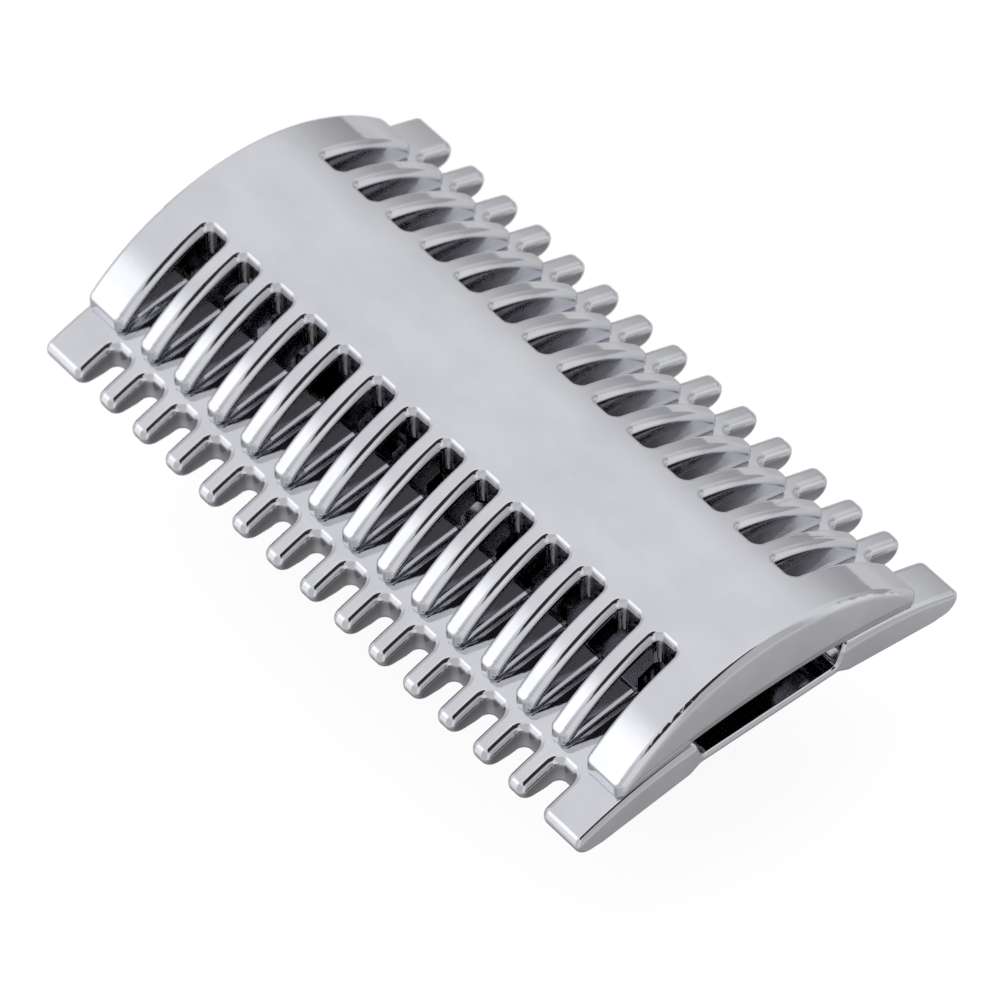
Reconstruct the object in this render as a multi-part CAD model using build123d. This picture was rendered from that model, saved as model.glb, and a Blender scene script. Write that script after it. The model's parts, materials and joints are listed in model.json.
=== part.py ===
from build123d import *
import math
import os

# Head of a double-edge safety razor: open-comb base plate with a slotted, arched top cap.
# Millimetres. Origin: the handle axis, on the face where the handle seats under the base plate.
# X runs along the head, Y across it towards the comb teeth, Z up through the crown of the cap.

# Whole head
HEAD_LENGTH = 43.7
SLOT_COUNT = 14
SLOT_PITCH = 2.8
COMB_ROOT_Z = 2.8          # top of the base plate where the comb gaps begin
CLOSING_GAP = 0.04         # between the cap and the bed when the head is closed

# Blade bed: the curved top of the base plate's wings
BED_RADIUS = 46.0
BED_CROWN_Z = COMB_ROOT_Z + 1.15
DROOP_START_Y = 8.5        # the comb bends down from here, tangent to the bed
DROOP_RADIUS = 22.0

# Base plate
BASE_WIDTH = 25.6
COMB_ROOT_Y = 10.25
COMB_GAP_WIDTH = 1.55
COMB_ROOT_RADIUS = 0.5
CHANNEL_FLOOR_Z = COMB_ROOT_Z - 0.59
CHANNEL_FLOOR_HALF = 4.45
CHANNEL_TOP_HALF = 5.0
CHANNEL_FOOT_RADIUS = 0.45
CHANNEL_LIP_RADIUS = 0.3
STRIP_BOTTOM_Z = COMB_ROOT_Z - 1.10
STRIP_HALF_WIDTH = 4.6
WING_STEP_Y = 5.3
WING_STEP_Z = COMB_ROOT_Z - 1.5
WING_LOW_Y = 11.1
WING_LOW_Z = COMB_ROOT_Z - 2.26
TIP_TOP_RADIUS = 0.55
TIP_BOTTOM_RADIUS = 0.92
TIP_LOW_Z = COMB_ROOT_Z - 2.2
TOOTH_EDGE_RADIUS = 0.4
BASE_END_EDGE_RADIUS = 0.22
SEAT_RADIUS = 6.0
SEAT_CHAMFER = 0.3

# Top cap
CAP_WIDTH = 20.0
CAP_END_INSET = 0.1
CAP_CROWN_Z = COMB_ROOT_Z + 5.2
CAP_ARCH_RADIUS = 14.0
CAP_WALL = 2.2
CAP_SLOT_WIDTH = 1.67
CAP_SLOT_START_Y = 3.7
CAP_SLOT_RADIUS = 0.45
CAP_NOSE_RADIUS = 0.42
CAP_EDGE_RADIUS = 0.32
CAP_UNDER_EDGE_RADIUS = 0.2
CAP_POCKET_HALF_WIDTH = 5.05
CAP_END_WALL = 2.6
CAP_BOSS_RADIUS = 3.6
PIN_BOSS_RADIUS = 2.4

# Stud and pins
STUD_RADIUS = 2.5          # M5 thread, below the handle seat
STUD_REACH = 8.0
STUD_CHAMFER = 0.5
THREAD_TOP_Z = -0.6
UNDERCUT_RADIUS = 2.1      # thread run-out groove
SHANK_RADIUS = 2.8         # plain part, through the base plate and into the cap
SHANK_LOW_Z = 0.3          # just inside the hole, so that it can't hold the handle off its seat
SHANK_TOP_Z = CAP_CROWN_Z - 1.6
STUD_HOLE_RADIUS = 2.9
PIN_RADIUS = 1.5
PIN_SPACING = 30.0
PIN_TOP_Z = CAP_CROWN_Z - 1.1
PIN_BOTTOM_Z = COMB_ROOT_Z - 1.0
PIN_CHAMFER = 0.3
PIN_HOLE_RADIUS = 1.58

TALL = 40.0                # longer than any feature, for cutters and trimming solids
slot_xs = [(i - (SLOT_COUNT - 1) / 2) * SLOT_PITCH for i in range(SLOT_COUNT)]
pin_xs = [-PIN_SPACING / 2, PIN_SPACING / 2]


def bed_z(y):
    """Height of the blade bed, and of the comb beyond it, at a distance y from the centre line."""
    y = abs(y)
    if y <= DROOP_START_Y:
        return BED_CROWN_Z - BED_RADIUS + math.sqrt(BED_RADIUS**2 - y**2)
    from_centre = y - DROOP_START_Y * (1 - DROOP_RADIUS / BED_RADIUS)
    drop = DROOP_RADIUS * math.sqrt(1 - (DROOP_START_Y / BED_RADIUS) ** 2)
    return bed_z(DROOP_START_Y) - drop + math.sqrt(DROOP_RADIUS**2 - from_centre**2)


def arch_z(y, wall=0.0):
    """Height of the cap's arch at y, or of a concentric surface one wall further in."""
    return CAP_CROWN_Z - CAP_ARCH_RADIUS + math.sqrt((CAP_ARCH_RADIUS - wall) ** 2 - y**2)


def bed_arc(low_y, high_y):
    """The stretch of the bed's profile between two distances from the centre line."""
    return ThreePointArc(*[(y, bed_z(y)) for y in (low_y, (low_y + high_y) / 2, high_y)])


def along_head(section, length):
    """Extrude a cross-section drawn in (y, z) along the head, centred on the handle axis."""
    return extrude(Plane.YZ * section, amount=length / 2, both=True)


def slotted_outline(length, width, slot_width, slot_start_y):
    """Plan of a plate with one row of open slots along each long side."""
    outline = Rectangle(length, width)
    slot_depth = width / 2 - slot_start_y
    for x in slot_xs:
        for side in (-1, 1):
            centre = side * (slot_start_y + slot_depth)
            outline -= Pos(x, centre) * Rectangle(slot_width, 2 * slot_depth)
    return outline


def upright(outline):
    """A tall block with a plan outline, to be trimmed by a cross-section."""
    return extrude(Plane.XY * outline, amount=TALL / 2, both=True)


def corner_points(outline, low_y, high_y):
    """Corners of a plan outline whose distance from the centre line is in a range."""
    return [v for v in outline.vertices() if low_y < abs(v.Y) < high_y]


def bore(radius, x=0.0):
    """A vertical cylinder right through the head."""
    return Pos(x, 0, 0) * Cylinder(radius, TALL)


def rounded(section, y, z, radius):
    """Round the corner of a cross-section that lies nearest to (y, z)."""
    corner = min(section.vertices(), key=lambda v: math.hypot(v.X - y, v.Y - z))
    return fillet(corner, radius)


def wall_rims(solid, is_wall):
    """Edges where a wall face meets anything that is not itself a wall."""
    walls = [face for face in solid.faces() if is_wall(face)]
    edges = [edge for face in walls for edge in face.edges()]
    return [edge for edge in edges if edges.count(edge) == 1]


def is_upright(face):
    return abs(face.normal_at().Z) < 0.01


def is_end_face(face):
    return abs(face.normal_at().X) > 0.99 and abs(face.center().X) > HEAD_LENGTH / 2 - 0.2


def is_high(edge):
    """True for the cap's edges on the arch, and false for those that face the bed."""
    middle = edge.center()
    return middle.Z > bed_z(middle.Y) + 0.5


def make_base_plate():
    half = BASE_WIDTH / 2
    bed = bed_arc(CHANNEL_TOP_HALF, DROOP_START_Y)
    comb = bed_arc(DROOP_START_Y, half)
    outside = Polyline(
        (half, bed_z(half)),
        (half, TIP_LOW_Z),
        (WING_LOW_Y, WING_LOW_Z),
        (WING_STEP_Y, WING_STEP_Z),
        (STRIP_HALF_WIDTH, STRIP_BOTTOM_Z),
        (0, STRIP_BOTTOM_Z),
        (0, CHANNEL_FLOOR_Z),
        (CHANNEL_FLOOR_HALF, CHANNEL_FLOOR_Z),
        (CHANNEL_TOP_HALF, bed_z(CHANNEL_TOP_HALF)),
    )
    section = make_face(bed + comb + outside)
    section = rounded(section, half, bed_z(half), TIP_TOP_RADIUS)
    section = rounded(section, half, TIP_LOW_Z, TIP_BOTTOM_RADIUS)
    section = rounded(section, CHANNEL_FLOOR_HALF, CHANNEL_FLOOR_Z, CHANNEL_FOOT_RADIUS)
    section = rounded(section, CHANNEL_TOP_HALF, bed_z(CHANNEL_TOP_HALF), CHANNEL_LIP_RADIUS)
    section = rounded(section, WING_STEP_Y, WING_STEP_Z, CHANNEL_LIP_RADIUS)
    section = section + mirror(section, about=Plane.YZ)
    plate = along_head(section, HEAD_LENGTH)
    outline = slotted_outline(HEAD_LENGTH, BASE_WIDTH + 1, COMB_GAP_WIDTH, COMB_ROOT_Y)
    outline = fillet(corner_points(outline, 0, COMB_ROOT_Y + 0.1), COMB_ROOT_RADIUS)
    plate = plate & upright(outline)

    def is_gap_wall(face):
        middle = face.center()
        in_comb = COMB_ROOT_Y - 0.1 < abs(middle.Y) < BASE_WIDTH / 2 - 0.1
        return in_comb and abs(middle.X) < HEAD_LENGTH / 2 - 0.1 and is_upright(face)

    plate = fillet(wall_rims(plate, is_gap_wall), TOOTH_EDGE_RADIUS)
    plate = fillet(wall_rims(plate, is_end_face), BASE_END_EDGE_RADIUS)

    boss = Pos(0, 0, STRIP_BOTTOM_Z / 2) * Cylinder(SEAT_RADIUS, STRIP_BOTTOM_Z)
    boss = chamfer(boss.edges().sort_by(Axis.Z)[0], SEAT_CHAMFER)
    plate += boss
    plate -= bore(STUD_HOLE_RADIUS)
    for x in pin_xs:
        plate -= bore(PIN_HOLE_RADIUS, x)
    return plate


def make_top_cap():
    half = CAP_WIDTH / 2
    length = HEAD_LENGTH - 2 * CAP_END_INSET
    arch = ThreePointArc((-half, arch_z(half)), (0, CAP_CROWN_Z), (half, arch_z(half)))
    under = ThreePointArc(
        (half, bed_z(half) + CLOSING_GAP),
        (0, BED_CROWN_Z + CLOSING_GAP),
        (-half, bed_z(half) + CLOSING_GAP),
    )
    nose = Line(arch @ 1, under @ 0)
    other_nose = Line(under @ 1, arch @ 0)
    shell = along_head(make_face(arch + nose + under + other_nose), length)

    outline = slotted_outline(length, CAP_WIDTH, CAP_SLOT_WIDTH, CAP_SLOT_START_Y)
    outline = fillet(corner_points(outline, 0, CAP_SLOT_START_Y + 0.1), CAP_SLOT_RADIUS)
    outline = fillet(corner_points(outline, half - 0.1, half + 0.1), CAP_NOSE_RADIUS)
    shell = shell & upright(outline)

    rims = wall_rims(shell, is_upright)
    shell = fillet([edge for edge in rims if is_high(edge)], CAP_EDGE_RADIUS)
    rims = wall_rims(shell, is_upright)
    shell = fillet([edge for edge in rims if not is_high(edge)], CAP_UNDER_EDGE_RADIUS)

    reach = CAP_POCKET_HALF_WIDTH
    ceiling = ThreePointArc(
        (-reach, arch_z(reach, CAP_WALL)), (0, arch_z(0, CAP_WALL)), (reach, arch_z(reach, CAP_WALL))
    )
    floor = Polyline(ceiling @ 1, (reach, 0), (-reach, 0), ceiling @ 0)
    pocket = along_head(make_face(ceiling + floor), length - 2 * CAP_END_WALL)
    shell -= pocket

    shell += make_boss(CAP_BOSS_RADIUS, 0)
    for x in pin_xs:
        shell += make_boss(PIN_BOSS_RADIUS, x)
    shell -= Pos(0, 0, SHANK_TOP_Z - TALL / 2) * Cylinder(SHANK_RADIUS, TALL)
    for x in pin_xs:
        shell -= Pos(x, 0, PIN_TOP_Z - TALL / 2) * Cylinder(PIN_RADIUS, TALL)
    return shell


def turned(radius, low, high, x=0.0):
    """An upright cylinder between two heights."""
    return Pos(x, 0, (low + high) / 2) * Cylinder(radius, high - low)


def make_boss(radius, x):
    """A round boss that hangs from the cap's ceiling to the level of the blade."""
    return turned(radius, BED_CROWN_Z + CLOSING_GAP, CAP_CROWN_Z - 1, x)


def make_stud():
    thread = turned(STUD_RADIUS, -STUD_REACH, THREAD_TOP_Z)
    thread = chamfer(thread.edges().sort_by(Axis.Z)[0], STUD_CHAMFER)
    return thread + turned(UNDERCUT_RADIUS, THREAD_TOP_Z, SHANK_LOW_Z) + turned(SHANK_RADIUS, SHANK_LOW_Z, SHANK_TOP_Z)


def make_pin(x):
    pin = turned(PIN_RADIUS, PIN_BOTTOM_Z, PIN_TOP_Z, x)
    return chamfer(pin.edges().sort_by(Axis.Z)[0], PIN_CHAMFER)


pieces = {
    "base_plate": make_base_plate(),
    "top_cap": make_top_cap(),
    "threaded_stud": make_stud(),
    "locating_pin_left": make_pin(pin_xs[0]),
    "locating_pin_right": make_pin(pin_xs[1]),
}

os.makedirs("parts", exist_ok=True)
for name, piece in pieces.items():
    piece.label = name
    export_step(piece, f"parts/{name}.step")
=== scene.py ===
"""Looks of a double-edge safety razor head: chrome castings, steel stud and pins, in a white light tent."""
import json
import math

import bmesh
import bpy
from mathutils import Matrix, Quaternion, Vector


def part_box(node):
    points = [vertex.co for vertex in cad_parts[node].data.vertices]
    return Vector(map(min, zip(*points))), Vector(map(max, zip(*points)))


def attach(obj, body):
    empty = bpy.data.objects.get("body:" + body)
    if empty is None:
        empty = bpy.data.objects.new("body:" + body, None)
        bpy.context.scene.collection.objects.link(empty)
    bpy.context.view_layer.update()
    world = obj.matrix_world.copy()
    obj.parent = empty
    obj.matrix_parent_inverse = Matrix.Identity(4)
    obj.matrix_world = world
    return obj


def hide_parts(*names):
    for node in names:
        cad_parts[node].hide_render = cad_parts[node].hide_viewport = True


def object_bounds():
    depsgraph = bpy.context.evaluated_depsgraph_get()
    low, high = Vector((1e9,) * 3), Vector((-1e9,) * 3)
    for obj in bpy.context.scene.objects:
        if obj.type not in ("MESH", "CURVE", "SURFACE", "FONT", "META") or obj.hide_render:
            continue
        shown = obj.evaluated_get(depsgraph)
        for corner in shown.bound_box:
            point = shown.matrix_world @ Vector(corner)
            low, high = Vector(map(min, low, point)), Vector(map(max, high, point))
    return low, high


MM = 0.001

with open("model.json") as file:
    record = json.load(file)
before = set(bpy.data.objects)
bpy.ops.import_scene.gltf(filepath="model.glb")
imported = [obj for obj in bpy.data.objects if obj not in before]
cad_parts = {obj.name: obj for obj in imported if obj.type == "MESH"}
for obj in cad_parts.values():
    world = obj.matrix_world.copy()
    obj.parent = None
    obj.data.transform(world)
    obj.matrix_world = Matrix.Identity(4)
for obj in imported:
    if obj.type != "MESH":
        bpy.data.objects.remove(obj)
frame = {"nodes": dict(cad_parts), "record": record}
CAD_LOW, CAD_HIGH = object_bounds()
NODES = frame["nodes"]
MOUNTS = {mount["name"]: mount for mount in frame["record"]["mounts"]}

# The castings' curved faces run along the head. Their wear and the painted shade on their openings' walls
# follow them.
ARCH_RADIUS = 14.0 * MM
ARCH_AXIS_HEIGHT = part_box("top_cap")[1].z - ARCH_RADIUS
ARCH_EDGE_RADIUS = 0.32 * MM
BED_RADIUS = 46.0 * MM
BED_AXIS_HEIGHT = 3.95 * MM - BED_RADIUS
COMB_RADIUS = 22.0 * MM
COMB_AXIS = (0.0, 4.435 * MM, -18.465 * MM)
# The outer ends of the last slots, from the middle of the head
SLOTS_END = 20.0 * MM

# Edges that buffing has rolled over: how far the surface leans there, and the depths where the lean starts
# to fade and has gone
ARCH_ROLL = (0.78, 0.35 * MM, 0.95 * MM)
BED_ROLL = (0.21, 0.48 * MM, 0.6 * MM)
COMB_ROLL = (0.6, 0.3 * MM, 0.6 * MM)

CHROME_COOL = (0.56, 0.564, 0.6, 1.0)
CHROME_PALE = (0.605, 0.609, 0.643, 1.0)
# Painted shade: the dark colour put on the walls of the castings' openings
PAINTED_RECESS_SHADE = (0.25, 0.25, 0.262, 1.0)
STAIN = (0.28, 0.25, 0.215, 1.0)
STEEL_BRIGHT = (0.56, 0.565, 0.57, 1.0)
STEEL_DULL = (0.44, 0.435, 0.43, 1.0)

WHITE = (1.0, 1.0, 1.0, 1.0)
# Half the sides of the rectangle of floor that the painted shade of the head covers fully. Z is large, so
# that it never counts.
SHADED_FLOOR = (19.0 * MM, 9.0 * MM, 1.0)

# Height of each finish's texture, in metres
CHROME_RELIEF = 5e-6
TURNED_RELIEF = 3e-6
GROUND_RELIEF = 2.5e-6


# ---------------------------------------------------------------- node helpers

def add_node(tree, kind, inputs=None, **settings):
    """A node with its settings and its input values or links."""
    node = tree.nodes.new(kind)
    for key, value in settings.items():
        setattr(node, key, value)
    for key, value in (inputs or {}).items():
        if isinstance(value, bpy.types.NodeSocket):
            tree.links.new(value, node.inputs[key])
        else:
            node.inputs[key].default_value = value
    return node


def calculate(tree, operation, *values):
    """The result of one Math node."""
    inputs = dict(enumerate(values))
    return add_node(tree, "ShaderNodeMath", inputs, operation=operation).outputs["Value"]


def product(tree, first, *others):
    """All the values multiplied together."""
    for other in others:
        first = calculate(tree, "MULTIPLY", first, other)
    return first


def remap(tree, value, start, end, to_start, to_end, smooth=False):
    """value, taken from start..end to to_start..to_end and held there."""
    kind = "SMOOTHSTEP" if smooth else "LINEAR"
    inputs = {"Value": value, "From Min": start, "From Max": end, "To Min": to_start, "To Max": to_end}
    return add_node(tree, "ShaderNodeMapRange", inputs, interpolation_type=kind).outputs["Result"]


def vector(tree, operation, *values):
    """The result of one Vector Math node."""
    node = add_node(tree, "ShaderNodeVectorMath", dict(enumerate(values)), operation=operation)
    return node.outputs["Value" if operation in ("DOT_PRODUCT", "LENGTH") else "Vector"]


def scale(tree, value, factor):
    """A vector times a number."""
    node = add_node(tree, "ShaderNodeVectorMath", {0: value, "Scale": factor}, operation="SCALE")
    return node.outputs["Vector"]


def components(tree, value):
    """The X, Y and Z outputs of a vector."""
    return add_node(tree, "ShaderNodeSeparateXYZ", {"Vector": value}).outputs


def noise(tree, place, density, detail):
    """A smooth random field, 0 to 1, with density features to the metre."""
    inputs = {"Vector": place, "Scale": density, "Detail": detail}
    return add_node(tree, "ShaderNodeTexNoise", inputs).outputs["Fac"]


def stretched_noise(tree, place, densities, detail):
    """noise with a different number of features to the metre along each axis."""
    return noise(tree, vector(tree, "MULTIPLY", place, densities), 1.0, detail)


def mix_colours(tree, amount, first, second):
    """first where amount is 0, second where it is 1."""
    inputs = {0: amount, 6: first, 7: second}
    return add_node(tree, "ShaderNodeMix", inputs, data_type="RGBA").outputs[2]


def mix_shaders(tree, amount, first, second):
    """first where amount is 0, second where it is 1."""
    return add_node(tree, "ShaderNodeMixShader", {0: amount, 1: first, 2: second}).outputs["Shader"]


def spoke_from(tree, place, axis_height):
    """Which way a point lies from a line along the head at a height, as a unit vector, and how far."""
    spoke = vector(tree, "SUBTRACT", place, (0.0, 0.0, axis_height))
    spoke = vector(tree, "MULTIPLY", spoke, (0.0, 1.0, 1.0))
    return vector(tree, "NORMALIZE", spoke), vector(tree, "LENGTH", spoke)


# ---------------------------------------------------------------- materials

def new_material(name):
    """An empty node tree with its output, ready for nodes."""
    material = bpy.data.materials.new(name)
    material.use_nodes = True
    material.node_tree.nodes.clear()
    output = material.node_tree.nodes.new("ShaderNodeOutputMaterial")
    return material, material.node_tree, output.inputs["Surface"]


def object_place(tree):
    """Where a point is in its object, in metres."""
    return add_node(tree, "ShaderNodeTexCoord").outputs["Object"]


def surface_normal(tree):
    """The shading normal before any leaning or relief."""
    return add_node(tree, "ShaderNodeNewGeometry").outputs["Normal"]


def finish_metal(tree, surface, colour, roughness, height, relief, normal):
    """A metal surface. height, from 0 to 1, stands for a rise of relief metres."""
    normal = add_node(tree, "ShaderNodeBump", {
        "Height": height, "Distance": relief, "Strength": 1.0, "Normal": normal}).outputs["Normal"]
    shader = add_node(tree, "ShaderNodeBsdfPrincipled", {
        "Base Color": colour, "Metallic": 1.0, "Roughness": roughness, "Normal": normal})
    tree.links.new(shader.outputs["BSDF"], surface)


def roll_edge(tree, normal, direction, depth, roll):
    """normal leaned towards a direction where the edge is rolled over, less so if it already faces there."""
    amount, start, end = roll
    wanted = remap(tree, depth, start, end, amount, 0.0, smooth=True)
    already = calculate(tree, "ABSOLUTE", vector(tree, "DOT_PRODUCT", normal, direction))
    missing = calculate(tree, "MAXIMUM", calculate(tree, "SUBTRACT", wanted, already), 0.0)
    return vector(tree, "ADD", normal, scale(tree, direction, missing))


def steepness(tree, normal, when_upright):
    """when_upright on upright walls, falling to 0 on anything that leans."""
    up = calculate(tree, "ABSOLUTE", components(tree, normal)["Z"])
    return remap(tree, up, 0.15, 0.45, when_upright, 0.0, smooth=True)


def slot_walls(tree, place, normal):
    """For the cap: 1 on its slots' walls, which get painted shade standing in for shade in the recesses, and
    0 elsewhere.

    The second result is the normal, with the walls' upper and lower edges rolled over.
    """
    outward, reach = spoke_from(tree, place, ARCH_AXIS_HEIGHT)
    under_arch = calculate(tree, "SUBTRACT", ARCH_RADIUS, reach)
    up_from_bed, reach = spoke_from(tree, place, BED_AXIS_HEIGHT)
    over_bed = calculate(tree, "SUBTRACT", reach, BED_RADIUS)
    # on the +Y side the edges are rolled over less, and the painted shade on the walls fades out towards
    # their outer ends
    y = components(tree, place)["Y"]
    under_arch = calculate(tree, "DIVIDE", under_arch, remap(tree, y, 3.0 * MM, 7.0 * MM, 1.0, 0.6))
    before_bright = remap(tree, y, 7.0 * MM, 8.7 * MM, 1.0, 0.0, smooth=True)

    along = calculate(tree, "ABSOLUTE", components(tree, place)["X"])
    before_ends = remap(tree, along, SLOTS_END - 0.3 * MM, SLOTS_END, 1.0, 0.0)
    below_edge = remap(tree, under_arch, 0.55 * MM, 0.95 * MM, 0.0, 1.0, smooth=True)
    above_bed = remap(tree, over_bed, 0.52 * MM, 0.66 * MM, 0.0, 1.0, smooth=True)
    # inside the cap, the painted shade goes all the way down
    in_hollow = remap(tree, calculate(tree, "ABSOLUTE", y), 3.6 * MM, 3.8 * MM, 1.0, 0.0)
    above_bed = calculate(tree, "MAXIMUM", in_hollow, above_bed)
    # painted shade: the upright walls of the slots are darkened, standing in for shade in the recesses
    painted_shade = product(
        tree, steepness(tree, normal, 1.0), before_ends, below_edge, above_bed, before_bright)

    normal = roll_edge(tree, normal, outward, under_arch, ARCH_ROLL)
    normal = roll_edge(tree, normal, scale(tree, up_from_bed, -1.0), over_bed, BED_ROLL)
    return painted_shade, vector(tree, "NORMALIZE", normal)


def comb_walls(tree, place, normal):
    """The same for the base plate: its comb's walls get painted shade, darkest high up, and their top edges
    are rolled over.
    """
    folded = vector(tree, "ABSOLUTE", place)
    reach = spoke_from(tree, vector(tree, "SUBTRACT", folded, COMB_AXIS), 0.0)[1]
    under_top = calculate(tree, "SUBTRACT", COMB_RADIUS, reach)
    outside = components(tree, folded)
    before_ends = remap(tree, outside["X"], CAD_HIGH.x - 0.5 * MM, CAD_HIGH.x - 0.3 * MM, 1.0, 0.0)
    past_roots = remap(tree, outside["Y"], 10.0 * MM, 10.2 * MM, 0.0, 1.0)
    before_tips = remap(tree, outside["Y"], CAD_HIGH.y - 0.5 * MM, CAD_HIGH.y - 0.2 * MM, 1.0, 0.0)
    below_edge = remap(tree, under_top, 0.5 * MM, 0.6 * MM, 0.0, 1.0, smooth=True)
    fading_down = remap(tree, under_top, 0.7 * MM, 1.7 * MM, 1.0, 0.0, smooth=True)
    # painted shade on the comb's walls, darkest just under the top and fading downwards
    painted_shade = product(
        tree, steepness(tree, normal, 0.75), before_ends, past_roots, before_tips, below_edge, fading_down)
    normal = roll_edge(tree, normal, (0.0, 0.0, 1.0), under_top, COMB_ROLL)
    return painted_shade, vector(tree, "NORMALIZE", normal)


def chrome_material(name, walls, stain_strength):
    """Plating on a polished casting: bright, a little cool and faintly mottled.

    walls gives the painted shade on the walls of the casting's openings, and stain_strength says how far
    these are stained.
    """
    material, tree, surface = new_material(name)
    place = object_place(tree)
    cloud = stretched_noise(tree, place, (260.0, 420.0, 420.0), 5.0)
    mottle = noise(tree, place, 1100.0, 4.0)
    polish = stretched_noise(tree, place, (300.0, 9000.0, 9000.0), 2.0)
    painted_shade, normal = walls(tree, place, surface_normal(tree))
    spots = remap(tree, mottle, 0.5, 0.68, 0.0, stain_strength, smooth=True)
    stained = calculate(tree, "MULTIPLY", painted_shade, spots)
    colour = mix_colours(tree, remap(tree, cloud, 0.35, 0.65, 0.0, 1.0), CHROME_COOL, CHROME_PALE)
    # painted shade: a dark colour mixed in on the openings' walls
    colour = mix_colours(tree, painted_shade, colour, PAINTED_RECESS_SHADE)
    colour = mix_colours(tree, stained, colour, STAIN)
    roughness = remap(tree, cloud, 0.3, 0.7, 0.03, 0.07)
    roughness = calculate(tree, "MULTIPLY_ADD", mottle, 0.03, roughness)
    roughness = calculate(tree, "MULTIPLY_ADD", stained, 0.2, roughness)
    height = calculate(tree, "MULTIPLY_ADD", polish, 0.06, mottle)
    finish_metal(tree, surface, colour, roughness, height, CHROME_RELIEF, normal)
    return material


def turned_steel_material():
    """Stainless steel off the lathe: fine rings round the axis and a brown-grey bloom."""
    material, tree, surface = new_material("turned_steel")
    place = object_place(tree)
    rings = stretched_noise(tree, place, (500.0, 500.0, 16000.0), 3.0)
    bloom = noise(tree, place, 700.0, 4.0)
    colour = mix_colours(tree, remap(tree, bloom, 0.4, 0.65, 0.0, 1.0), STEEL_BRIGHT, STEEL_DULL)
    roughness = calculate(tree, "MULTIPLY_ADD", rings, 0.16, remap(tree, bloom, 0.3, 0.7, 0.12, 0.24))
    finish_metal(tree, surface, colour, roughness, rings, TURNED_RELIEF, surface_normal(tree))
    return material


def ground_steel_material():
    """Ground dowel steel: short lines along the pin and a few darker rubbed patches."""
    material, tree, surface = new_material("ground_steel")
    place = object_place(tree)
    lines = stretched_noise(tree, place, (11000.0, 11000.0, 900.0), 3.0)
    rubbed = noise(tree, place, 1300.0, 3.0)
    colour = mix_colours(tree, remap(tree, rubbed, 0.45, 0.6, 0.0, 1.0), STEEL_BRIGHT, STEEL_DULL)
    roughness = calculate(tree, "MULTIPLY_ADD", lines, 0.14, remap(tree, rubbed, 0.3, 0.7, 0.1, 0.2))
    finish_metal(tree, surface, colour, roughness, lines, GROUND_RELIEF, surface_normal(tree))
    return material


def floor_material():
    """A pale sweep. The camera sees it almost white; the chrome sees a painted shade of the head on it, as a
    dimmer glow near the head.

    It can be seen through from below, so that it doesn't hide the underside.
    """
    material, tree, surface = new_material("pale_floor")
    place = vector(tree, "ABSOLUTE", add_node(tree, "ShaderNodeNewGeometry").outputs["Position"])
    outside = vector(tree, "MAXIMUM", vector(tree, "SUBTRACT", place, SHADED_FLOOR), (0.0, 0.0, 0.0))
    clear = vector(tree, "LENGTH", outside)
    # painted shadow: the floor's glow seen in the chrome is dimmer near the head
    shade = remap(tree, clear, 0.0, 16.0 * MM, 0.26, 0.62, smooth=True)
    shade = calculate(tree, "ADD", shade, remap(tree, clear, 16.0 * MM, 70.0 * MM, 0.0, 0.2, smooth=True))
    seen_in_chrome = add_node(tree, "ShaderNodeEmission", {"Color": WHITE, "Strength": shade})
    lit = add_node(tree, "ShaderNodeBsdfDiffuse", {"Color": (0.25, 0.25, 0.25, 1.0)})
    glow = add_node(tree, "ShaderNodeEmission", {"Color": WHITE, "Strength": 0.86})
    seen = add_node(tree, "ShaderNodeAddShader", {0: lit.outputs["BSDF"], 1: glow.outputs["Emission"]})
    camera_ray = add_node(tree, "ShaderNodeLightPath").outputs["Is Camera Ray"]
    upper = mix_shaders(tree, camera_ray, seen_in_chrome.outputs["Emission"], seen.outputs["Shader"])
    from_below = add_node(tree, "ShaderNodeNewGeometry").outputs["Backfacing"]
    nothing = add_node(tree, "ShaderNodeBsdfTransparent").outputs["BSDF"]
    tree.links.new(mix_shaders(tree, from_below, upper, nothing), surface)
    return material


def paint(node, material):
    """Give a CAD node one material."""
    node.data.materials.clear()
    node.data.materials.append(material)


# ---------------------------------------------------------------- castings

# A corner normal that leans further than this off its own face has been averaged badly
FAR_OFF = math.radians(22)


def choose(tree, condition, otherwise, when_true):
    """One of two vectors."""
    inputs = {"Switch": condition, "False": otherwise, "True": when_true}
    return add_node(tree, "GeometryNodeSwitch", inputs, input_type="VECTOR").outputs["Output"]


def arch_rounding(tree, normal):
    """The normal on the cap's arch and on the rounding of its edges.

    There the depth below the arch alone tells how far the surface has turned from it.
    """
    place = add_node(tree, "GeometryNodeInputPosition").outputs["Position"]
    outward, reach = spoke_from(tree, place, ARCH_AXIS_HEIGHT)
    under_arch = calculate(tree, "SUBTRACT", ARCH_RADIUS, reach)
    outward_part = remap(tree, under_arch, 0.0, ARCH_EDGE_RADIUS, 1.0, 0.0)
    squared = calculate(tree, "MULTIPLY", outward_part, outward_part)
    side_part = calculate(tree, "SQRT", calculate(tree, "SUBTRACT", 1.0, squared))
    along_spoke = scale(tree, outward, vector(tree, "DOT_PRODUCT", normal, outward))
    sideways = vector(tree, "NORMALIZE", vector(tree, "SUBTRACT", normal, along_spoke))
    rounding = vector(tree, "ADD", scale(tree, outward, outward_part), scale(tree, sideways, side_part))
    return choose(tree, calculate(tree, "GREATER_THAN", outward_part, 0.0), normal, rounding)


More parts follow.
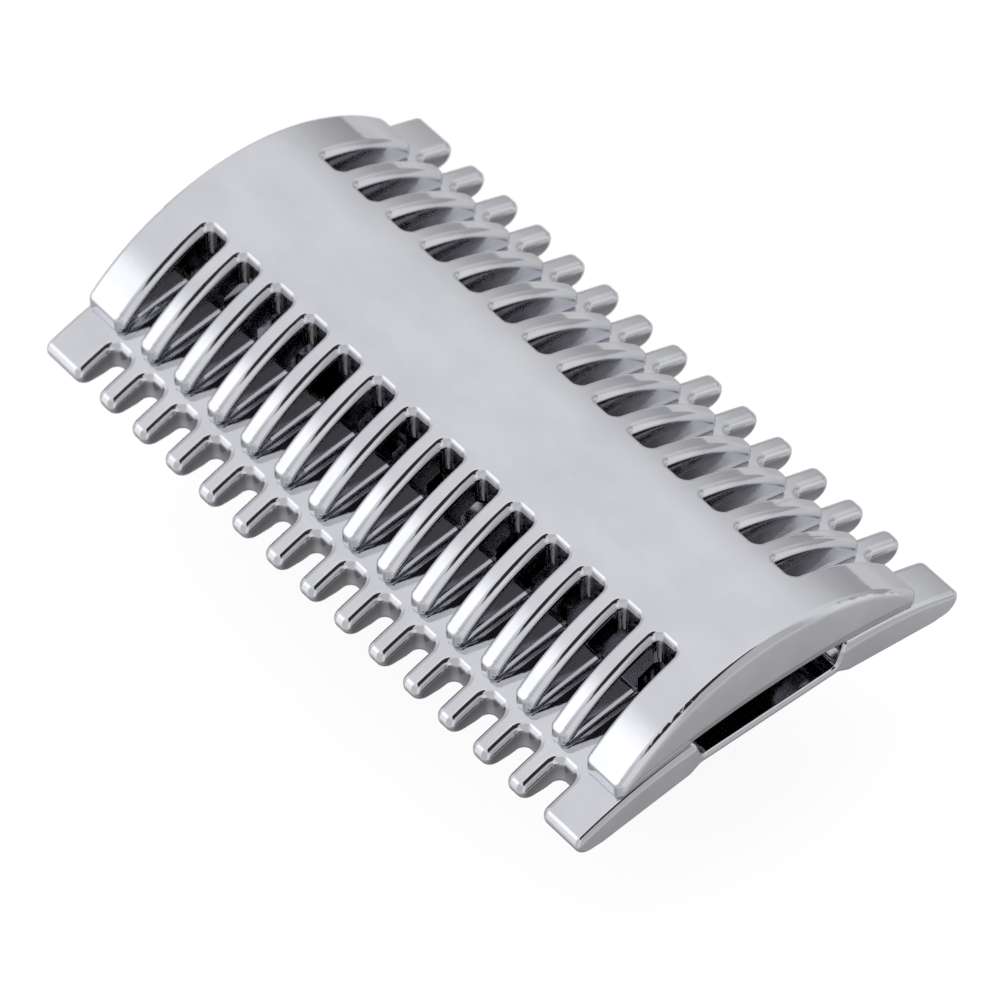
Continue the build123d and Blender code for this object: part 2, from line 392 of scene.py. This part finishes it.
def steady_normals(name, arched):
    """Nodes that put right the corner normals which the import has averaged badly.

    A corner that leans far off its own face is shaded flat. The cap's arch and its edges are worked out.
    """
    tree = bpy.data.node_groups.new(name, "GeometryNodeTree")
    tree.interface.new_socket(name="Geometry", in_out="INPUT", socket_type="NodeSocketGeometry")
    tree.interface.new_socket(name="Geometry", in_out="OUTPUT", socket_type="NodeSocketGeometry")
    mesh_in = tree.nodes.new("NodeGroupInput").outputs[0]
    normals = add_node(tree, "GeometryNodeInputNormal").outputs
    flat = add_node(tree, "GeometryNodeFieldOnDomain", data_type="FLOAT_VECTOR", domain="FACE")
    tree.links.new(normals["True Normal"], flat.inputs["Value"])
    agreement = vector(tree, "DOT_PRODUCT", normals["Normal"], flat.outputs["Value"])
    far_off = calculate(tree, "LESS_THAN", agreement, math.cos(FAR_OFF))
    normal = choose(tree, far_off, normals["Normal"], flat.outputs["Value"])
    if arched:
        normal = arch_rounding(tree, normal)
    corrected = add_node(tree, "GeometryNodeSetMeshNormal", mode="FREE", domain="CORNER")
    tree.links.new(mesh_in, corrected.inputs["Mesh"])
    tree.links.new(normal, corrected.inputs["Custom Normal"])
    tree.links.new(corrected.outputs["Mesh"], tree.nodes.new("NodeGroupOutput").inputs[0])
    return tree


def finish_casting(name, material, arched):
    """Chrome and steady normals for one of the two castings."""
    paint(NODES[name], material)
    modifier = NODES[name].modifiers.new("steady_normals", "NODES")
    modifier.node_group = steady_normals(name + "_normals", arched)


finish_casting("base_plate", chrome_material("base_chrome", comb_walls, 0.0), arched=False)
finish_casting("top_cap", chrome_material("cap_chrome", slot_walls, 0.6), arched=True)

GROUND_STEEL = ground_steel_material()
for name in ("locating_pin_left", "locating_pin_right"):
    paint(NODES[name], GROUND_STEEL)

# ---------------------------------------------------------------- threaded stud

THREAD_PITCH = 0.8 * MM
THREAD_DEPTH = 0.49 * MM
# Half widths of the thread's flats at crest and root, as shares of half a pitch
CREST_SHARE = 0.14
ROOT_SHARE = 0.26
THREAD_FADE = 0.35 * MM
UNDERCUT_RADIUS = 2.1 * MM
UNDERCUT_LENGTH = 0.9 * MM
UNDERCUT_FILLET = 0.1 * MM
TIP_INSET = 0.03 * MM
SHANK_CHAMFER = 0.25 * MM
STEPS_ROUND = 64
ROWS_PER_PITCH = 16


def thread_shape(turn):
    """Height of the thread's profile, 0 at the root and 1 at the crest, at a fraction of one pitch."""
    from_crest = abs((turn % 1.0) - 0.5) * 2.0
    return min(1.0, max(0.0, (1.0 - ROOT_SHARE - from_crest) / (1.0 - ROOT_SHARE - CREST_SHARE)))


def build_stud():
    """The stud with its thread cut as one helix, a run-out groove, and the plain shank above it."""
    low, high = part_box("threaded_stud")
    shank_radius = (high.x - low.x) / 2
    mount = MOUNTS["handle_stud"]
    thread_radius = mount["dims"]["r_mm"] * MM
    thread_top = mount["pos_m"][2] + mount["dims"]["length_mm"] * MM / 2
    tip_radius = thread_radius - THREAD_DEPTH - TIP_INSET
    shank_low = thread_top + UNDERCUT_LENGTH

    rows = []
    count = round((thread_top - low.z) / THREAD_PITCH * ROWS_PER_PITCH)
    for row in range(count + 1):
        z = low.z + (thread_top - low.z) * row / count
        fade = min(1.0, (thread_top - z) / THREAD_FADE)
        ring = []
        for step in range(STEPS_ROUND):
            turn = z / THREAD_PITCH - step / STEPS_ROUND
            radius = thread_radius - THREAD_DEPTH * (1.0 - thread_shape(turn) * fade)
            ring.append(min(radius, tip_radius + (z - low.z)))
        rows.append((z, ring))
    plain = [
        (thread_top, UNDERCUT_RADIUS),
        (shank_low - UNDERCUT_FILLET, UNDERCUT_RADIUS),
        (shank_low, UNDERCUT_RADIUS + UNDERCUT_FILLET),
        (shank_low, shank_radius - SHANK_CHAMFER),
        (shank_low + SHANK_CHAMFER, shank_radius),
        (high.z - SHANK_CHAMFER, shank_radius),
        (high.z, shank_radius - SHANK_CHAMFER),
    ]
    rows += [(z, [radius] * STEPS_ROUND) for z, radius in plain]

    shape = bmesh.new()
    rings = []
    for z, radii in rows:
        angles = [math.tau * step / STEPS_ROUND for step in range(STEPS_ROUND)]
        rings.append([shape.verts.new((r * math.cos(a), r * math.sin(a), z)) for r, a in zip(radii, angles)])
    for lower, upper in zip(rings, rings[1:]):
        for step in range(STEPS_ROUND):
            after = (step + 1) % STEPS_ROUND
            shape.faces.new((lower[step], lower[after], upper[after], upper[step]))
    shape.faces.new(rings[-1])
    shape.faces.new(rings[0][::-1])
    for face in shape.faces:
        face.smooth = True
    mesh = bpy.data.meshes.new("threaded_stud_cut")
    shape.to_mesh(mesh)
    shape.free()
    mesh.set_sharp_from_angle(angle=math.radians(40))
    stud = bpy.data.objects.new("threaded_stud_cut", mesh)
    bpy.context.scene.collection.objects.link(stud)
    mesh.materials.append(turned_steel_material())
    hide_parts("threaded_stud")
    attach(stud, "cap")
    return stud


build_stud()

# ---------------------------------------------------------------- stage

FLOOR_HALF = 1.5


def build_floor():
    """A flat square floor at the height of the stud's tip."""
    mesh = bpy.data.meshes.new("floor")
    shape = bmesh.new()
    bmesh.ops.create_grid(shape, x_segments=8, y_segments=8, size=FLOOR_HALF)
    shape.to_mesh(mesh)
    shape.free()
    floor = bpy.data.objects.new("floor", mesh)
    floor.location.z = CAD_LOW.z
    bpy.context.scene.collection.objects.link(floor)
    mesh.materials.append(floor_material())


build_floor()

TENT = [
    # back and sides, below the shoulder of the tent
    (-170, -18, 50, 40, 40, 0.5),
    (-85, 25, 12, 22, 12, 0.74),
    (20, 18, 34, 18, 12, 0.76),
    (138, -5, 9, 38, 14, 1.0),
    (107, 6, 22, 42, 10, 0.66),
    # softbox at the left front
    (-36, 28, 12, 16, 14, 1.7),
    (-34, -5, 6, 18, 8, 1.35),
]
# The dark opening in the tent's roof, as overlapping discs: azimuth, elevation, radius and softness.
OPENING = [(68.2, 57.5, 25, 3), (103.5, 59.0, 13, 4), (68.0, 33.0, 12, 4)]
OPENING_LEVEL = 0.04


def towards(azimuth, elevation):
    """The unit vector from the head towards an azimuth and elevation in radians."""
    flat = math.cos(elevation)
    return Vector((math.sin(azimuth) * flat, -math.cos(azimuth) * flat, math.sin(elevation)))


def within(tree, distance, limit, soft):
    """1 nearer than a limit and 0 beyond it, with a soft change between."""
    return remap(tree, distance, limit - soft / 2, limit + soft / 2, 1.0, 0.0, smooth=True)


def build_tent():
    """Light from all round, brighter and darker in places. The camera itself sees plain white."""
    world = bpy.data.worlds.new("tent")
    bpy.context.scene.world = world
    world.use_nodes = True
    tree = world.node_tree
    tree.nodes.clear()
    direction = add_node(tree, "ShaderNodeTexCoord").outputs["Generated"]
    axes = components(tree, direction)
    forwards = calculate(tree, "MULTIPLY", axes["Y"], -1.0)
    azimuth = calculate(tree, "DEGREES", calculate(tree, "ARCTAN2", axes["X"], forwards))
    elevation = calculate(tree, "DEGREES", calculate(tree, "ARCSINE", axes["Z"]))
    level = remap(tree, elevation, 60.0, 85.0, 1.03, 1.16)
    for centre_az, centre_el, half_width, half_height, soft, brightness in TENT:
        turned = calculate(tree, "SUBTRACT", azimuth, float(centre_az))
        across = calculate(tree, "ABSOLUTE", calculate(tree, "WRAP", turned, 180.0, -180.0))
        up = calculate(tree, "ABSOLUTE", calculate(tree, "SUBTRACT", elevation, float(centre_el)))
        inside = product(tree, within(tree, across, half_width, soft), within(tree, up, half_height, soft))
        change = calculate(tree, "SUBTRACT", float(brightness), level)
        level = calculate(tree, "MULTIPLY_ADD", change, inside, level)
    for centre_az, centre_el, radius, soft in OPENING:
        centre = towards(math.radians(centre_az), math.radians(centre_el))
        cosine = vector(tree, "DOT_PRODUCT", direction, centre)
        away = calculate(tree, "DEGREES", calculate(tree, "ARCCOSINE", cosine))
        change = calculate(tree, "SUBTRACT", OPENING_LEVEL, level)
        level = calculate(tree, "MULTIPLY_ADD", change, within(tree, away, radius, soft), level)
    camera_ray = add_node(tree, "ShaderNodeLightPath").outputs["Is Camera Ray"]
    tent = add_node(tree, "ShaderNodeBackground", {"Color": WHITE, "Strength": level})
    backdrop = add_node(tree, "ShaderNodeBackground", {"Color": WHITE, "Strength": 1.0})
    seen = mix_shaders(tree, camera_ray, tent.outputs["Background"], backdrop.outputs["Background"])
    tree.links.new(seen, tree.nodes.new("ShaderNodeOutputWorld").inputs["Surface"])


build_tent()

# ---------------------------------------------------------------- camera

# Seen from the +X and -Y side, from half way up, with a long lens
VIEW_AZIMUTH = math.radians(50.90)
VIEW_ELEVATION = math.radians(49.61)
VIEW_ROLL = math.radians(-0.736)
VIEW_DISTANCE = 423.1 * MM
LENS = 293.6
SENSOR_WIDTH = 36.0
APERTURE = 120.0
AIM = Vector((1.99, -1.36, 1.96)) * MM
# On the near end, so that the far end is a little soft
FOCUS = (CAD_HIGH.x - 8 * MM, CAD_LOW.y + 6 * MM, CAD_HIGH.z / 2)

camera = bpy.data.objects.new("camera", bpy.data.cameras.new("camera"))
bpy.context.scene.collection.objects.link(camera)
back = towards(VIEW_AZIMUTH, VIEW_ELEVATION)
camera.location = AIM + back * VIEW_DISTANCE
camera.rotation_mode = "QUATERNION"
camera.rotation_quaternion = (-back).to_track_quat("-Z", "Y") @ Quaternion((0, 0, 1), VIEW_ROLL)
camera.data.lens = LENS
camera.data.sensor_width = SENSOR_WIDTH
camera.data.clip_start = 0.01
camera.data.clip_end = 10.0
focus = bpy.data.objects.new("focus", None)
focus.location = FOCUS
bpy.context.scene.collection.objects.link(focus)
camera.data.dof.use_dof = True
camera.data.dof.focus_object = focus
camera.data.dof.aperture_fstop = APERTURE
bpy.context.scene.camera = camera
bpy.context.scene.view_settings.view_transform = "Standard"
